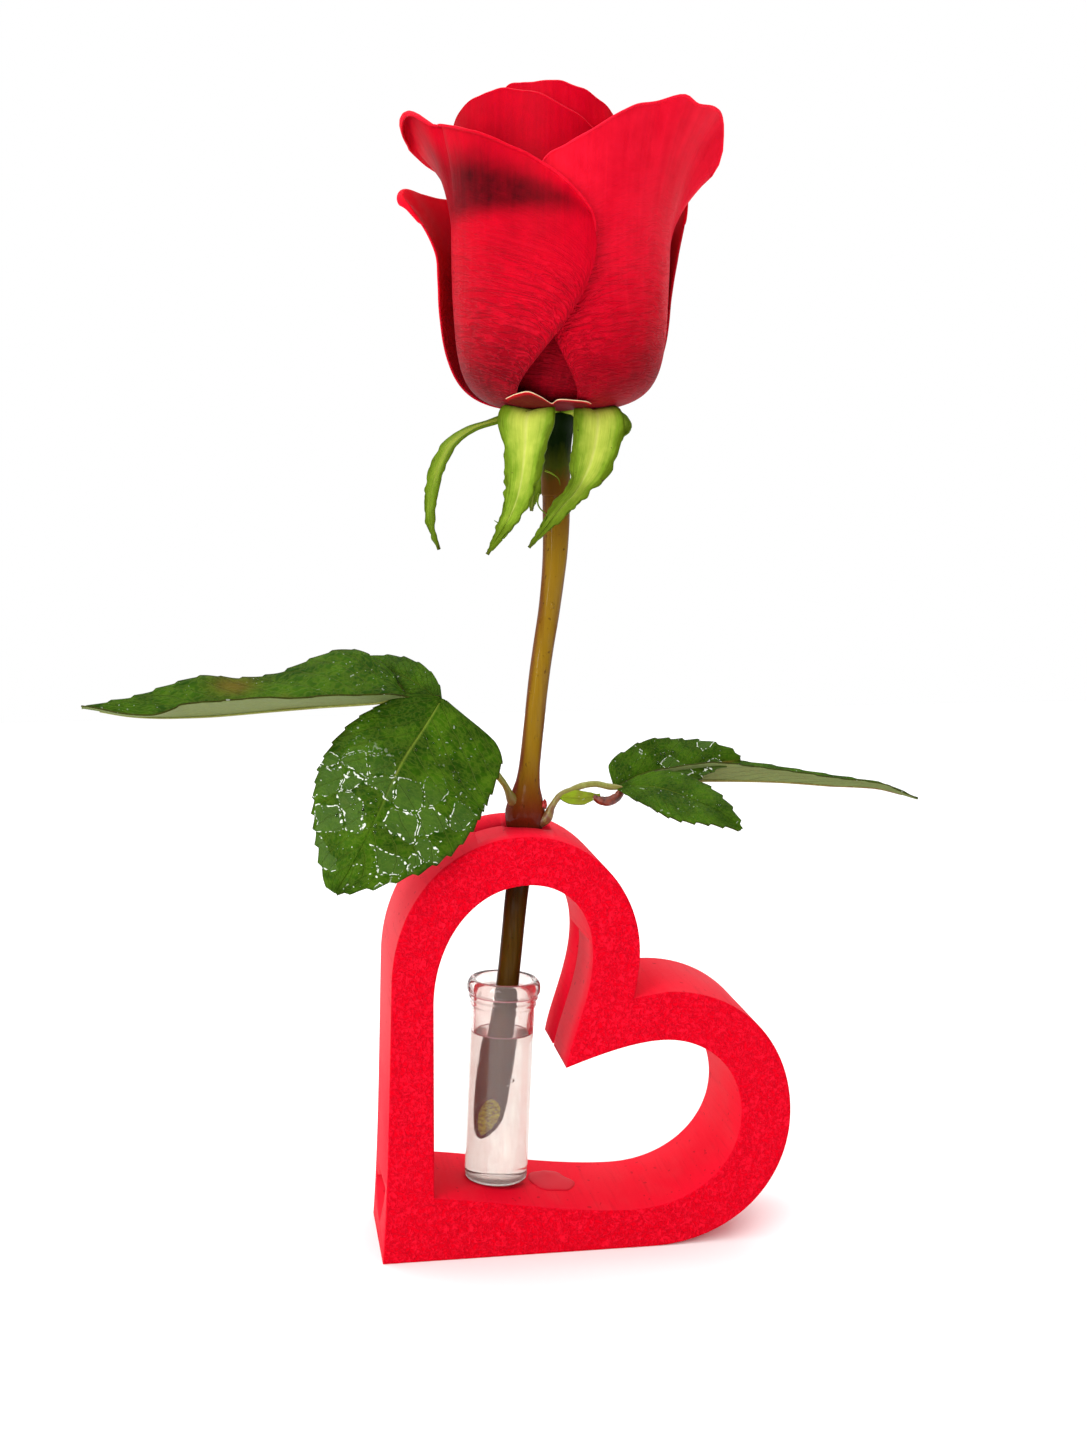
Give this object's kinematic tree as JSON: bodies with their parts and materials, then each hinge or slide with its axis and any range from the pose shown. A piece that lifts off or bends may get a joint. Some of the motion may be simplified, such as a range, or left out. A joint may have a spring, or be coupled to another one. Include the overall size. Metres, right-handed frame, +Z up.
{
  "type": "rose in a bud vase",
  "caption": "Cut red rose standing in a thick heart-shaped foam holder; its stem passes down through the crown into a small clear tube of water inside the open heart.",
  "frame": {"origin": "middle of the heart holder's flat foot, on the surface it stands on", "axes": "+Z up along the stem, +X to the right as the open heart is seen from its front, -Y towards the viewer"},
  "size_m": [0.194, 0.0558, 0.2591],
  "materials": {
    "foam": "matte",
    "tube": "gloss",
    "water": "gloss",
    "stem": "satin",
    "leaf": "satin",
    "calyx": "satin",
    "petal": "matte"
  },
  "bodies": {
    "root": {"heart_frame": "foam", "tube": "tube", "water": "water", "stem": "stem", "leaf_left": "leaf", "leaf_right": "leaf", "calyx": "calyx", "bloom": "petal"}
  },
  "joints": []
}
